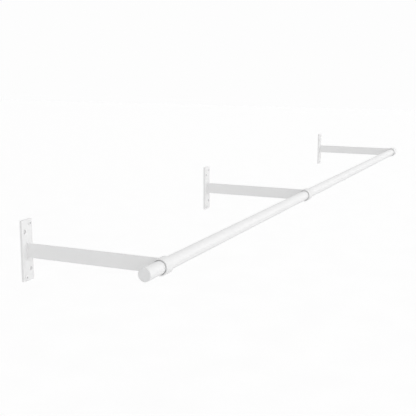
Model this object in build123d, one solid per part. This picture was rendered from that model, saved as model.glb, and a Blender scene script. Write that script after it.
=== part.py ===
"""Wall-mounted curtain rod: one straight tube carried in the ring collars of three welded brackets.

The row's frame: +X runs along the rod, +Y points into the wall and +Z is up. The origin is the centre of
the middle wall plate's back face, so the wall is the plane Y = 0. All sizes are in millimetres.
"""

from build123d import *
import os

# Rod and end caps
ROD_DIAMETER = 25.0
ROD_WALL = 1.5
LEFT_STUB = 55.0  # rod that stands out past the left collar, cap included
RIGHT_STUB = 30.0  # rod that stands out past the right collar, cap included
CAP_HEAD = 3.0
CAP_EDGE_RADIUS = 0.8
CAP_PLUG_LENGTH = 14.0
CAP_PLUG_WALL = 1.6
CAP_PLUG_GAP = 0.5  # between the plug's barrel and the tube
CAP_RIB_GAP = 0.06  # between the gripping ribs and the tube
CAP_RIB_WIDTH = 1.2
CAP_RIB_COUNT = 3

# Places of the three brackets along the rod
BRACKET_PLACES = {"left": -830.0, "middle": 0.0, "right": 1110.0}
PROJECTION = 295.0  # wall to rod axis

# Wall plate
PLATE_WIDTH = 32.0
PLATE_HEIGHT = 120.0
PLATE_THICKNESS = 5.0
PLATE_CORNER_RADIUS = 2.0
PLATE_EDGE_RADIUS = 0.7

# Screw holes: each pair lies on opposite sides of the plate's centre
HOLE_OFFSET = 7.5  # sideways from the plate's middle line
OUTER_HOLE_HEIGHT = 52.0  # these two hold the wall screws
INNER_HOLE_HEIGHT = 37.0  # these two are free
OUTER_HOLE_RADIUS = 2.75
INNER_HOLE_RADIUS = 4.0

# Wall screws, 5 mm pan head
SHANK_RADIUS = 2.45
HEAD_RADIUS = 4.5
HEAD_RIM = 0.6  # height of the head's straight side
HEAD_HEIGHT = 2.2
RECESS_SPAN = 4.4
RECESS_WIDTH = 1.15
RECESS_DEPTH = 1.6
RECESS_TAPER = 12.0
RECESS_TURN = {"upper": 25.0, "lower": 50.0}

# Arm: a flat bar on edge
ARM_THICKNESS = 5.0
ARM_HEIGHT = 28.0
ARM_EDGE_RADIUS = 0.6

# Ring collar
COLLAR_DIAMETER = 32.0
COLLAR_WALL = 2.8
COLLAR_LENGTH = 25.0
COLLAR_EDGE_RADIUS = 0.5

# Welds
PLATE_WELD_LEG = 2.4
RING_WELD_LEG = 2.2
RING_WELD_HALF_ANGLE = 48.0

# Set screw, threaded M5, under each collar
SCREW_THREAD_RADIUS = 2.5
SCREW_FIT_GAP = 0.05
SCREW_LENGTH = 4.0
SCREW_TIP_GAP = 0.1  # between the screw's tip and the rod
SCREW_CHAMFER = 0.35
SOCKET_ACROSS_FLATS = 2.5
SOCKET_DEPTH = 2.0

ROD_RADIUS = ROD_DIAMETER / 2
TUBE_BORE_RADIUS = ROD_RADIUS - ROD_WALL
COLLAR_RADIUS = COLLAR_DIAMETER / 2
COLLAR_BORE_RADIUS = COLLAR_RADIUS - COLLAR_WALL
LEFT_END = BRACKET_PLACES["left"] - COLLAR_LENGTH / 2 - LEFT_STUB
RIGHT_END = BRACKET_PLACES["right"] + COLLAR_LENGTH / 2 + RIGHT_STUB
ROD_AXIS = Location((0, -PROJECTION, 0))
PLATE_FRONT = -PLATE_THICKNESS


def cylinder_x(radius, start, end):
    """A round bar along X between two places, centred on the X axis."""
    return Pos((start + end) / 2, 0, 0) * Rot(0, 90, 0) * Cylinder(radius, end - start)


def cylinder_y(radius, start, end):
    """A round bar along Y between two places, centred on the Y axis."""
    return Pos(0, (start + end) / 2, 0) * Rot(90, 0, 0) * Cylinder(radius, end - start)


def hole(radius):
    return cylinder_y(radius, 2 * PLATE_FRONT, -PLATE_FRONT)


def wall_plate():
    """Flat plate with its back on the wall and four screw holes in a zigzag."""
    plate = Pos(0, PLATE_FRONT / 2, 0) * Box(PLATE_WIDTH, PLATE_THICKNESS, PLATE_HEIGHT)
    plate = fillet(plate.edges().filter_by(Axis.Y), PLATE_CORNER_RADIUS)
    plate = fillet(plate.faces().sort_by(Axis.Y)[0].edges(), PLATE_EDGE_RADIUS)
    for side in (1, -1):
        plate -= Pos(side * HOLE_OFFSET, 0, side * OUTER_HOLE_HEIGHT) * hole(OUTER_HOLE_RADIUS)
        plate -= Pos(-side * HOLE_OFFSET, 0, side * INNER_HOLE_HEIGHT) * hole(INNER_HOLE_RADIUS)
    return plate


def wall_screw(place):
    """Pan-head screw with a cross recess. Its head rests on the plate and its shank ends at the wall."""
    rim = Line((HEAD_RADIUS, 0), (HEAD_RADIUS, HEAD_RIM))
    dome = TangentArc((0, HEAD_HEIGHT), (HEAD_RADIUS, HEAD_RIM), tangent=(1, 0))
    outline = Line((0, 0), (HEAD_RADIUS, 0)) + rim + dome + Line((0, HEAD_HEIGHT), (0, 0))
    head = revolve(make_face(outline), Axis.Y)
    wings = Rectangle(RECESS_SPAN, RECESS_WIDTH) + Rectangle(RECESS_WIDTH, RECESS_SPAN)
    recess = extrude(Pos(0, 0, HEAD_HEIGHT) * wings, -RECESS_DEPTH, taper=RECESS_TAPER)
    recess += extrude(Pos(0, 0, HEAD_HEIGHT) * wings, RECESS_DEPTH)
    head = Rot(90, 0, 0) * head - Rot(0, 0, RECESS_TURN[place]) * recess
    side = 1 if place == "upper" else -1
    screw = Pos(0, PLATE_FRONT, 0) * Rot(90, 0, 0) * head + cylinder_y(SHANK_RADIUS, PLATE_FRONT, 0)
    return Pos(side * HOLE_OFFSET, 0, side * OUTER_HOLE_HEIGHT) * screw


def support_arm():
    """Bar from the plate's front face to the collar, with its far end coped to the collar's round."""
    length = PROJECTION - PLATE_THICKNESS
    bar = Pos(0, PLATE_FRONT - length / 2, 0) * Box(ARM_THICKNESS, length, ARM_HEIGHT)
    bar = fillet(bar.edges().filter_by(Axis.Y), ARM_EDGE_RADIUS)
    return bar - ROD_AXIS * cylinder_x(COLLAR_RADIUS, -COLLAR_LENGTH, COLLAR_LENGTH)


def ring_collar():
    """Short tube round the rod, with a threaded hole through its underside."""
    half = COLLAR_LENGTH / 2
    ring = cylinder_x(COLLAR_RADIUS, -half, half) - cylinder_x(COLLAR_BORE_RADIUS, -half, half)
    ring = fillet(ring.edges().filter_by(GeomType.CIRCLE), COLLAR_EDGE_RADIUS)
    ring -= Pos(0, 0, -COLLAR_RADIUS) * Cylinder(SCREW_THREAD_RADIUS, COLLAR_RADIUS)
    return ROD_AXIS * ring


def plate_weld(arm):
    """Two fillet welds at the arm's foot, one across its top edge and one across its bottom edge."""
    top, low = ARM_HEIGHT / 2, ARM_HEIGHT / 2 - ARM_EDGE_RADIUS
    out = PLATE_FRONT - PLATE_WELD_LEG
    corners = ((PLATE_FRONT, low), (out, low), (out, top), (PLATE_FRONT, top + PLATE_WELD_LEG))
    profile = Plane.YZ * make_face(Polyline(*corners, close=True))
    weld = extrude(profile, ARM_THICKNESS / 2, both=True) - arm
    return Compound([weld, mirror(weld, Plane.XY)])


def ring_weld():
    """Two fillet welds, one on each side of the arm, along the collar's round."""
    side, outside = ARM_THICKNESS / 2, COLLAR_RADIUS
    bead = Polyline((side, outside), (side + RING_WELD_LEG, outside), (side, outside + RING_WELD_LEG), close=True)
    profile = Rot(-RING_WELD_HALF_ANGLE, 0, 0) * make_face(bead)
    weld = revolve(profile, Axis.X, 2 * RING_WELD_HALF_ANGLE)
    return ROD_AXIS * Compound([weld, mirror(weld, Plane.YZ)])


def set_screw():
    """Headless screw with a hexagon socket, upright under the collar, tip just clear of the rod."""
    body = Cylinder(SCREW_THREAD_RADIUS - SCREW_FIT_GAP, SCREW_LENGTH)
    body = chamfer(body.edges().filter_by(GeomType.CIRCLE), SCREW_CHAMFER)
    socket = extrude(RegularPolygon(SOCKET_ACROSS_FLATS / 2, 6, major_radius=False), SOCKET_DEPTH)
    body -= Pos(0, 0, -SCREW_LENGTH / 2) * socket
    return ROD_AXIS * Pos(0, 0, -ROD_RADIUS - SCREW_TIP_GAP - SCREW_LENGTH / 2) * body


def rod_tube():
    start, end = LEFT_END + CAP_HEAD, RIGHT_END - CAP_HEAD
    return ROD_AXIS * (cylinder_x(ROD_RADIUS, start, end) - cylinder_x(TUBE_BORE_RADIUS, start, end))


def end_cap():
    """Push-in cap with its head towards -X and its inner face at X = 0."""
    head = cylinder_x(ROD_RADIUS, -CAP_HEAD, 0)
    head = fillet(head.edges().sort_by(Axis.X)[0], CAP_EDGE_RADIUS)
    barrel_radius = TUBE_BORE_RADIUS - CAP_PLUG_GAP
    cap = head + cylinder_x(barrel_radius, 0, CAP_PLUG_LENGTH)
    for rib in range(CAP_RIB_COUNT):
        place = CAP_PLUG_LENGTH * (rib + 0.7) / CAP_RIB_COUNT
        cap += cylinder_x(TUBE_BORE_RADIUS - CAP_RIB_GAP, place - CAP_RIB_WIDTH / 2, place + CAP_RIB_WIDTH / 2)
    return cap - cylinder_x(barrel_radius - CAP_PLUG_WALL, 0, 2 * CAP_PLUG_LENGTH)


def save(name, shape):
    export_step(shape, f"parts/{name}.step")


os.makedirs("parts", exist_ok=True)
for place_name, place in BRACKET_PLACES.items():
    arm = support_arm()
    pieces = {
        "wall_plate": wall_plate(),
        "support_arm": arm,
        "ring_collar": ring_collar(),
        "plate_weld": plate_weld(arm),
        "ring_weld": ring_weld(),
        "set_screw": set_screw(),
        "wall_screw_upper": wall_screw("upper"),
        "wall_screw_lower": wall_screw("lower"),
    }
    for piece_name, piece in pieces.items():
        save(f"{piece_name}_{place_name}", Pos(place, 0, 0) * piece)

save("rod_tube", rod_tube())
save("end_cap_left", ROD_AXIS * Pos(LEFT_END + CAP_HEAD, 0, 0) * end_cap())
save("end_cap_right", ROD_AXIS * Pos(RIGHT_END - CAP_HEAD, 0, 0) * Rot(0, 0, 180) * end_cap())
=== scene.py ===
"""Looks of the white wall-mounted curtain rod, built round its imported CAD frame. Lengths are in metres."""
from math import cos, pi, radians, sin, sqrt, tau

import bmesh
import bpy
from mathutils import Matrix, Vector


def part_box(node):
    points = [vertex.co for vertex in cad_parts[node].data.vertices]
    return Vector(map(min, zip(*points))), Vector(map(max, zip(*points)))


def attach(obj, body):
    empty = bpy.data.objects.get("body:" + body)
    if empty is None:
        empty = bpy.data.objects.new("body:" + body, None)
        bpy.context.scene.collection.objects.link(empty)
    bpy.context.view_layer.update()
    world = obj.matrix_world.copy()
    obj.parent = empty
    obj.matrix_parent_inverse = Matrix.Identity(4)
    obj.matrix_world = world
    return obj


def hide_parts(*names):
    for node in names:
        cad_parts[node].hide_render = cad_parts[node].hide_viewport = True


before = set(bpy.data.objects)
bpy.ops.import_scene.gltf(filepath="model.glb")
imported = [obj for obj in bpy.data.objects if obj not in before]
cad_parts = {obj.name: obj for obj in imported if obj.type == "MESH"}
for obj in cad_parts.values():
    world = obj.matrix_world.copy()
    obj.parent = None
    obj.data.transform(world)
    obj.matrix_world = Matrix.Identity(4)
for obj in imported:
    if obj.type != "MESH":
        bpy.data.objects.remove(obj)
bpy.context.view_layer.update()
MM = 0.001
SIDES = ("left", "middle", "right")

# Camera, set by the angle at which the rail is seen
CAMERA_AZIMUTH = -65.63  # degrees; 0 looks along +Y
CAMERA_ELEVATION = 10.51
CAMERA_DISTANCE = 1.58
CAMERA_LENS = 69.54  # millimetres, on a 36 mm sensor
LOOK_ALONG = -0.636  # from the middle bracket, along the rod
LOOK_ABOVE = 0.0715  # above the rod's axis

# Stage
FLOOR_DROP = 1.6  # how far the floor lies below the rod
FLOOR_SIZE = 60.0
FLOOR_GLOW = 0.228  # lifts the floor to white in the picture, and lights nothing
BACKDROP_LEVEL = 0.983  # what the camera sees behind the object, and lights nothing
WORLD_LIGHT = {"X": (1.0, 1.0), "Y": (1.92, 0.31), "Z": (0.0, 0.67)}  # from each axis's low and high end

# Where the collars' bores turn darker grey, as depths below the collar's outside: painted shade for the gap
# round the rod, and a thinner coat there
BORE_SHADE_AND_THIN_COAT_STARTS = 1.9 * MM
BORE_SHADE_AND_THIN_COAT_FULL = 2.4 * MM

# Welds
PLATE_WELD_LEG = 2.8 * MM
PLATE_WELD_OVERHANG = 0.3 * MM  # past the arm on either side
RING_WELD_LEG = 2.2 * MM
RING_WELD_HALF_ANGLE = radians(48)
RIPPLE_LENGTH = 1.9 * MM
RIPPLE_HEIGHT = 0.13 * MM
WELD_ROOT = 0.15 * MM  # how far a bead reaches into the steel it joins

# Set screw
THREAD_PITCH = 0.8 * MM
THREAD_DEPTH = 0.42 * MM
SCREW_END_BEVEL = 0.4 * MM
SOCKET_ACROSS_FLATS = 2.5 * MM
SOCKET_DEPTH = 2.0 * MM


# ---------------------------------------------------------------- measures read from the frame
def middle_of(node):
    low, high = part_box(node)
    return (low + high) / 2


def size_of(node):
    low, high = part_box(node)
    return high - low


ROD_AXIS = middle_of("rod_tube")
ROD_AXIS.x = 0.0
COLLAR_RADIUS = size_of("ring_collar_middle").z / 2
ARM_SIZE = size_of("support_arm_middle")


# ---------------------------------------------------------------- material helpers
class Nodes:
    """A material's node tree, with short calls to add and join nodes."""

    def __init__(self, name):
        self.material = bpy.data.materials.new(name)
        self.material.use_nodes = True
        self.tree = self.material.node_tree
        self.shader = self.tree.nodes["Principled BSDF"]

    def add(self, kind, inputs=None, **settings):
        node = self.tree.nodes.new(kind)
        for key, value in settings.items():
            setattr(node, key, value)
        for key, value in (inputs or {}).items():
            self.put(node.inputs[key], value)
        return node

    def put(self, socket, value):
        """Joins a socket to an output, or sets its value."""
        if isinstance(value, bpy.types.NodeSocket):
            self.tree.links.new(value, socket)
        else:
            socket.default_value = value

    def set(self, **inputs):
        for key, value in inputs.items():
            self.put(self.shader.inputs[key.replace("_", " ")], value)

    def place(self):
        return self.add("ShaderNodeTexCoord").outputs["Object"]

    def noise(self, place, scale, detail=2.0, roughness=0.5):
        values = {"Vector": place, "Scale": scale, "Detail": detail, "Roughness": roughness}
        return self.add("ShaderNodeTexNoise", values).outputs["Fac"]

    def math(self, operation, a, b=0.0):
        return self.add("ShaderNodeMath", {0: a, 1: b}, operation=operation).outputs[0]

    def span(self, value, low, high, to_low, to_high):
        """Maps low..high onto to_low..to_high, clamped."""
        values = {"Value": value, "From Min": low, "From Max": high, "To Min": to_low, "To Max": to_high}
        return self.add("ShaderNodeMapRange", values).outputs["Result"]

    def mix(self, share, first, second):
        node = self.add("ShaderNodeMix", data_type="RGBA")
        self.put(node.inputs[0], share)
        self.put(node.inputs[6], first)
        self.put(node.inputs[7], second)
        return node.outputs[2]

    def stretched(self, place, scale):
        return self.add("ShaderNodeMapping", {"Vector": place, "Scale": scale}).outputs["Vector"]

    def bump(self, height, distance, strength=1.0, normal=None):
        values = {"Height": height, "Distance": distance, "Strength": strength}
        if normal is not None:
            values["Normal"] = normal
        return self.add("ShaderNodeBump", values).outputs["Normal"]

    def edge(self, radius):
        """1 on sharp edges, 0 on open faces."""
        bevel = self.add("ShaderNodeBevel", {"Radius": radius}, samples=4)
        face = self.add("ShaderNodeNewGeometry").outputs["Normal"]
        dot = self.add("ShaderNodeVectorMath", {0: bevel.outputs[0], 1: face}, operation="DOT_PRODUCT")
        return self.span(dot.outputs["Value"], 0.985, 0.80, 0.0, 1.0)


def grey(level, tint=0.0):
    """An opaque near-white colour; tint above 0 is cooler."""
    return (level * (1 - tint), level, level * (1 + tint), 1.0)


def powder_coat(name, level, peel, relief, roughness, worn):
    """Satin white powder coat: orange peel, faint thickness clouds, dust specks and thin, greyer edges."""
    m = Nodes(name)
    place = m.place()
    clouds = m.span(m.noise(place, 9.0, 3.0), 0.3, 0.7, 0.0, 1.0)
    body = m.mix(clouds, grey(level * 0.985, 0.002), grey(level, -0.001))
    fine = m.noise(place, 190.0, 2.0)
    body = m.mix(m.span(fine, 0.35, 0.65, 0.0, 0.25), body, grey(level * 0.975, 0.001))
    specks = m.add("ShaderNodeTexVoronoi", {"Vector": place, "Scale": 170.0}).outputs["Distance"]
    body = m.mix(m.span(specks, 0.045, 0.02, 0.0, 0.22), body, grey(level * 0.80))
    broken = m.span(m.noise(place, 1600.0, 3.0, 0.6), 0.42, 0.68, 0.0, 1.0)
    thin = m.math("MULTIPLY", m.edge(0.7 * MM), m.math("MULTIPLY", broken, worn))
    body = m.mix(thin, body, grey(level * 0.80, -0.004))
    satin = m.span(m.noise(place, 46.0, 3.0), 0.3, 0.7, roughness - 0.05, roughness + 0.05)
    m.set(Base_Color=body, Roughness=m.math("ADD", satin, m.math("MULTIPLY", thin, 0.2)))
    m.set(Coat_Weight=0.12, Coat_Roughness=0.22, IOR=1.5)
    hills = m.bump(m.noise(place, peel, 1.5, 0.45), relief)
    grain = m.bump(m.noise(place, peel * 4, 1.0), relief / 8, 1.0, hills)
    m.set(Normal=grain, Coat_Normal=hills)
    return m


def bracket_coat():
    """The brackets' coat. Inside the collars' bores it turns patchy darker grey: painted shade for the gap
    round the rod, and a thinner coat there.
    """
    m = powder_coat("bracket_powder_coat", 0.85, 1250.0, 0.009 * MM, 0.42, 0.4)
    parts = m.add("ShaderNodeSeparateXYZ", {"Vector": m.place()}).outputs
    across = m.math("SUBTRACT", parts["Y"], ROD_AXIS.y)
    up = m.math("SUBTRACT", parts["Z"], ROD_AXIS.z)
    reach = m.math("SQRT", m.math("ADD", m.math("MULTIPLY", across, across), m.math("MULTIPLY", up, up)))
    bore_shade_and_thin_coat = m.span(reach, COLLAR_RADIUS - BORE_SHADE_AND_THIN_COAT_STARTS, COLLAR_RADIUS - BORE_SHADE_AND_THIN_COAT_FULL, 0.0, 1.0)
    painted = m.shader.inputs["Base Color"].links[0].from_socket
    patchy = m.span(m.noise(m.place(), 300.0, 3.0), 0.35, 0.65, 0.75, 1.0)
    # painted shade: patchy darker grey inside the bores, where the gap round the rod lies in shadow; it also
    # stands for the thinner coat there
    m.put(m.shader.inputs["Base Color"], m.mix(m.math("MULTIPLY", bore_shade_and_thin_coat, patchy), painted, grey(0.60, 0.01)))
    return m.material


def tube_coat():
    """The rod's coat: smoother, with faint lines along the drawn tube."""
    m = powder_coat("rod_powder_coat", 0.87, 1500.0, 0.004 * MM, 0.36, 0.3)
    lines = m.noise(m.stretched(m.place(), (4.0, 620.0, 620.0)), 1.0, 2.0)
    before = m.shader.inputs["Normal"].links[0].from_socket
    m.set(Normal=m.bump(lines, 0.003 * MM, 0.5, before))
    return m.material


def moulded_plastic():
    """The caps' matt moulded plastic: spark-eroded grain and a faint swirl of flow."""
    m = Nodes("cap_plastic")
    place = m.place()
    flow = m.noise(m.stretched(place, (60.0, 150.0, 90.0)), 1.0, 4.0, 0.6)
    body = m.mix(m.span(flow, 0.3, 0.7, 0.0, 1.0), grey(0.80, 0.002), grey(0.82, 0.004))
    scuffs = m.span(m.noise(m.stretched(place, (300.0, 900.0, 120.0)), 1.0, 3.0), 0.62, 0.75, 0.0, 0.35)
    worn = m.math("MULTIPLY", m.edge(0.6 * MM), m.span(m.noise(place, 900.0), 0.4, 0.65, 0.0, 0.5))
    body = m.mix(m.math("MAXIMUM", worn, m.math("MULTIPLY", scuffs, 0.3)), body, grey(0.73))
    m.set(Base_Color=body, Roughness=m.span(flow, 0.3, 0.7, 0.46, 0.56), IOR=1.51)
    m.set(Subsurface_Weight=0.08, Subsurface_Scale=0.6 * MM, Subsurface_Radius=(1.0, 1.0, 1.0))
    grain = m.bump(m.noise(place, 3200.0, 2.0, 0.6), 0.012 * MM, 0.7)
    m.set(Normal=m.bump(scuffs, 0.01 * MM, 0.4, grain))
    return m.material


def screw_enamel():
    """Thin white enamel on the wall screws. Where ambient occlusion finds the surface hidden, in the recess
    and in a thin ring where the head meets the plate, it turns to darker dull steel: painted shade, and in the
    recess also steel bared by the driver.
    """
    m = Nodes("screw_enamel")
    place = m.place()
    hidden = m.add("ShaderNodeAmbientOcclusion", {"Distance": 1.6 * MM}, samples=8).outputs["AO"]
    # painted shade: darker dull steel where ambient occlusion finds the surface hidden, in the recess and the
    # thin ring round the head's rim; in the recess it is also steel bared by the driver
    bare_and_shade = m.span(hidden, 0.60, 0.35, 0.0, 1.0)
    flakes = m.math("MULTIPLY", m.edge(0.3 * MM), m.span(m.noise(place, 1400.0, 3.0), 0.45, 0.65, 0.0, 0.6))
    body = m.mix(m.span(m.noise(place, 500.0, 3.0), 0.3, 0.7, 0.0, 1.0), grey(0.83, 0.002), grey(0.86, -0.001))
    body = m.mix(flakes, body, grey(0.55, -0.01))
    steel_and_shade = m.mix(m.span(m.noise(place, 2600.0, 3.0), 0.35, 0.65, 0.0, 1.0), grey(0.36), grey(0.52))
    m.set(Base_Color=m.mix(bare_and_shade, body, steel_and_shade), Metallic=m.math("MULTIPLY", bare_and_shade, 0.7))
    satin = m.span(m.noise(place, 800.0), 0.3, 0.7, 0.28, 0.36)
    m.set(Roughness=m.math("ADD", satin, m.math("MULTIPLY", bare_and_shade, 0.2)))
    m.set(Normal=m.bump(m.noise(place, 1100.0, 2.0), 0.01 * MM, 0.5))
    return m.material


def zinc_plate():
    """Bright zinc on the set screws: metal with cool and warm passivation clouds and fine turning marks."""
    m = Nodes("screw_zinc")
    place = m.place()
    clouds = m.span(m.noise(place, 420.0, 3.0), 0.35, 0.65, 0.0, 1.0)
    body = m.mix(clouds, (0.60, 0.62, 0.66, 1.0), (0.70, 0.69, 0.65, 1.0))
    dull = m.span(m.noise(place, 1500.0, 3.0), 0.5, 0.72, 0.0, 0.5)
    body = m.mix(dull, body, grey(0.42))
    satin = m.span(m.noise(place, 900.0, 2.0), 0.3, 0.7, 0.24, 0.38)
    m.set(Base_Color=body, Metallic=1.0, Roughness=m.math("ADD", satin, m.math("MULTIPLY", dull, 0.3)))
    marks = m.noise(m.stretched(place, (900.0, 900.0, 16000.0)), 1.0, 2.0)
    m.set(Normal=m.bump(marks, 0.004 * MM, 0.5))
    return m.material


# ---------------------------------------------------------------- mesh helpers
def mesh_object(name, rows, material):
    """A closed skin over rings of points: each ring is joined to the next, and the two ends get a face."""
    mesh = bmesh.new()
    grid = [[mesh.verts.new(point) for point in row] for row in rows]
    count = len(rows[0])
    for first, second in zip(grid, grid[1:]):
        for i in range(count):
            j = (i + 1) % count
            mesh.faces.new((first[i], first[j], second[j], second[i]))
    mesh.faces.new(list(reversed(grid[0])))
    mesh.faces.new(grid[-1])
    bmesh.ops.recalc_face_normals(mesh, faces=mesh.faces)
    data = bpy.data.meshes.new(name)
    mesh.to_mesh(data)
    mesh.free()
    for face in data.polygons:
        face.use_smooth = True
    data.materials.append(material)
    piece = bpy.data.objects.new(name, data)
    bpy.context.scene.collection.objects.link(piece)
    return piece


def ripple(along, across):
    """Height of the crescent ripples that a weld pool leaves, across running 0..1 over the bead."""
    phase = along / RIPPLE_LENGTH + 0.55 * (2 * across - 1) ** 2
    crest = abs(sin(pi * phase)) ** 0.7
    wander = 0.25 * sin(along * 2100.0) + 0.18 * sin(along * 870.0 + 1.3)
    return RIPPLE_HEIGHT * (crest - 0.6 + wander) * sin(pi * across)


def bead_section(leg, along, steps=10):
    """Points (out, up) of a bead's section, from its root corner out along the base and up the other face."""
    bulge = 0.16 * leg
    points = [(-WELD_ROOT, -WELD_ROOT), (leg, -WELD_ROOT)]
    for i in range(steps + 1):
        share = i / steps
        swell = bulge * sin(pi * share) + ripple(along, share)
        points.append((leg * (1 - share) + swell * sqrt(0.5), leg * share + swell * sqrt(0.5)))
    points.append((-WELD_ROOT, leg))
    return points


def end_swell(share, run, least):
    """Size of a bead along its length: it grows from least to 1 over a short run at either end."""
    grown = min(1.0, (1 - abs(2 * share - 1)) * run)
    return least + (1 - least) * sqrt(grown * (2 - grown))


def plate_bead(side, hand, material):
    """Rippled fillet weld across the arm's foot. hand is 1 on the arm's top edge, -1 on its bottom edge."""
    plate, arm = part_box(f"wall_plate_{side}"), middle_of(f"support_arm_{side}")
    root = Vector((arm.x, plate[0].y, arm.z + hand * ARM_SIZE.z / 2))
    rows, steps = [], 24
    for i in range(steps + 1):
        along = (ARM_SIZE.x + 2 * PLATE_WELD_OVERHANG) * (i / steps - 0.5)
        section = bead_section(PLATE_WELD_LEG * end_swell(i / steps, 5, 0.75), along)
        rows.append([root + Vector((along, -out, hand * up)) for up, out in section])
    return mesh_object(f"plate_bead_{side}_{'upper' if hand > 0 else 'lower'}", rows, material)


def ring_bead(side, hand, material):
    """Rippled weld on one side of the arm, along the collar's round. hand is 1 on the +X side, else -1."""
    centre = Vector((middle_of(f"ring_collar_{side}").x, ROD_AXIS.y, ROD_AXIS.z))
    rows, steps = [], 90
    for i in range(steps + 1):
        turn = RING_WELD_HALF_ANGLE * (2 * i / steps - 1)
        section = bead_section(RING_WELD_LEG * end_swell(i / steps, 9, 0.35), COLLAR_RADIUS * (turn + pi))
        outward = Vector((0, cos(turn), sin(turn)))
        foot = centre + Vector((hand * ARM_SIZE.x / 2, 0, 0)) + outward * COLLAR_RADIUS
        rows.append([foot + Vector((hand * x, 0, 0)) + outward * r for r, x in section])
    return mesh_object(f"ring_bead_{side}_{'right' if hand > 0 else 'left'}", rows, material)


def thread_radius(turn, height, length, crest):
    """The screw's radius at a turn and a height above its lower end."""
    phase = (height / THREAD_PITCH - turn / tau) % 1.0
    tooth = min(1.0, max(0.0, abs(2 * phase - 1) * 1.35 - 0.18))
    end = min(height, length - height) / SCREW_END_BEVEL
    bevel = THREAD_DEPTH * max(0.0, 1.0 - end)
    return min(crest - THREAD_DEPTH * (1 - tooth), crest - bevel)


def socket_radius(turn):
    """Distance from the screw's axis to its hexagon socket's wall."""
    return SOCKET_ACROSS_FLATS / 2 / cos((turn + pi / 6) % (pi / 3) - pi / 6)


def threaded_screw(side, material):
    """Headless screw with a real thread, a hexagon socket below and a flat tip against the rod."""
    node = f"set_screw_{side}"
    low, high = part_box(node)
    axis, length, crest = (low + high) / 2, high.z - low.z, (high.x - low.x) / 2
    turns = [tau * i / 72 for i in range(72)]

    def ring(radius_at, height):
        centre = Vector((axis.x, axis.y, low.z + height))
        return [centre + radius_at(t) * Vector((cos(t), sin(t), 0)) for t in turns]

    rows = [ring(lambda t: socket_radius(t) * 0.25, SOCKET_DEPTH + 0.5 * MM)]
    rows += [ring(lambda t: socket_radius(t) * 0.96, SOCKET_DEPTH)]
    rows += [ring(socket_radius, SOCKET_DEPTH - 0.05 * MM), ring(socket_radius, 0.12 * MM)]
    rows += [ring(lambda t: socket_radius(t) * 1.08, 0.0)]
    levels = 64
    for i in range(levels + 1):
        height = length * i / levels
        rows.append(ring(lambda t, h=height: thread_radius(t, h, length, crest), height))
    rows.append(ring(lambda t: crest * 0.55, length))
    rows.append(ring(lambda t: crest * 0.40, length - 0.15 * MM))
    screw = mesh_object(f"threaded_screw_{side}", rows, material)
    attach(screw, f"{side}_screw")
    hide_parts(node)


# ---------------------------------------------------------------- stage
def floor_material():
    """Plain pale floor, very slightly mottled."""
    m = Nodes("pale_floor")
    tone = m.span(m.noise(m.place(), 3.0, 3.0), 0.3, 0.7, 0.0, 1.0)
    m.set(Base_Color=m.mix(tone, grey(0.90), grey(0.92)), Roughness=0.85)
    by_camera = m.add("ShaderNodeLightPath").outputs["Is Camera Ray"]
    m.set(Emission_Color=(1, 1, 1, 1), Emission_Strength=m.math("MULTIPLY", by_camera, FLOOR_GLOW))
    return m.material


def make_floor():
    mesh = bmesh.new()
    bmesh.ops.create_grid(mesh, x_segments=8, y_segments=8, size=FLOOR_SIZE / 2)
    data = bpy.data.meshes.new("floor")
    mesh.to_mesh(data)
    mesh.free()
    data.materials.append(floor_material())
    floor = bpy.data.objects.new("floor", data)
    floor.location.z = ROD_AXIS.z - FLOOR_DROP
    bpy.context.scene.collection.objects.link(floor)


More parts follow.
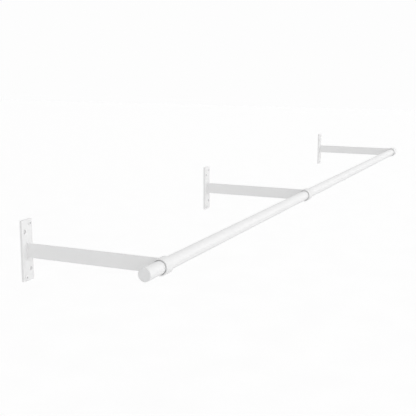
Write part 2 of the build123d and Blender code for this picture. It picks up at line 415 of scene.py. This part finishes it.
def make_world():
    """Soft light from the sides and above, strongest in front of the wall, with a white backdrop."""
    world = bpy.data.worlds.new("studio")
    bpy.context.scene.world = world
    world.use_nodes = True
    tree = world.node_tree

    def add(kind, inputs, **settings):
        node = tree.nodes.new(kind)
        for key, value in settings.items():
            setattr(node, key, value)
        for key, value in inputs.items():
            if isinstance(value, bpy.types.NodeSocket):
                tree.links.new(value, node.inputs[key])
            else:
                node.inputs[key].default_value = value
        return node.outputs

    direction = add("ShaderNodeTexCoord", {})["Generated"]
    along = add("ShaderNodeSeparateXYZ", {0: direction})
    strength = 0.0
    for axis, (low, high) in WORLD_LIGHT.items():
        values = {"Value": along[axis], "From Min": -1.0, "From Max": 1.0, "To Min": low, "To Max": high}
        level = add("ShaderNodeMapRange", values)["Result"]
        share = add("ShaderNodeMath", {0: along[axis], 1: along[axis]}, operation="MULTIPLY")[0]
        part = add("ShaderNodeMath", {0: level, 1: share}, operation="MULTIPLY")[0]
        strength = add("ShaderNodeMath", {0: part, 1: strength}, operation="ADD")[0]
    lit = add("ShaderNodeBackground", {"Color": (1, 1, 1, 1), "Strength": strength})[0]
    seen = add("ShaderNodeBackground", {"Color": (1, 1, 1, 1), "Strength": BACKDROP_LEVEL})[0]
    by_camera = add("ShaderNodeLightPath", {})["Is Camera Ray"]
    mixed = add("ShaderNodeMixShader", {0: by_camera, 1: lit, 2: seen})[0]
    tree.links.new(mixed, tree.nodes["World Output"].inputs["Surface"])


def make_camera():
    turn, tilt = radians(CAMERA_AZIMUTH), radians(CAMERA_ELEVATION)
    back = Vector((sin(turn) * cos(tilt), -cos(turn) * cos(tilt), sin(tilt)))
    data = bpy.data.cameras.new("camera")
    data.lens = CAMERA_LENS
    camera = bpy.data.objects.new("camera", data)
    camera.location = ROD_AXIS + Vector((LOOK_ALONG, 0, LOOK_ABOVE)) + back * CAMERA_DISTANCE
    camera.rotation_mode = "QUATERNION"
    camera.rotation_quaternion = (-back).to_track_quat("-Z", "Y")
    bpy.context.scene.collection.objects.link(camera)
    bpy.context.scene.camera = camera


# ---------------------------------------------------------------- build
make_camera()
make_floor()
make_world()
bpy.context.scene.view_settings.view_transform = "Standard"

coat, rod_coat, plastic = bracket_coat(), tube_coat(), moulded_plastic()
enamel, zinc = screw_enamel(), zinc_plate()
finishes = {"rod_tube": rod_coat, "end_cap_left": plastic, "end_cap_right": plastic}
for side in SIDES:
    finishes.update({f"wall_screw_upper_{side}": enamel, f"wall_screw_lower_{side}": enamel})
for node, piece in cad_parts.items():
    piece.data.materials.clear()
    piece.data.materials.append(finishes.get(node, coat))

for side in SIDES:
    for make_bead, weld in ((plate_bead, "plate_weld"), (ring_bead, "ring_weld")):
        beads = [make_bead(side, hand, coat) for hand in (-1, 1)]
        for bead in beads:
            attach(bead, f"{side}_bracket")
        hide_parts(f"{weld}_{side}")
    threaded_screw(side, zinc)
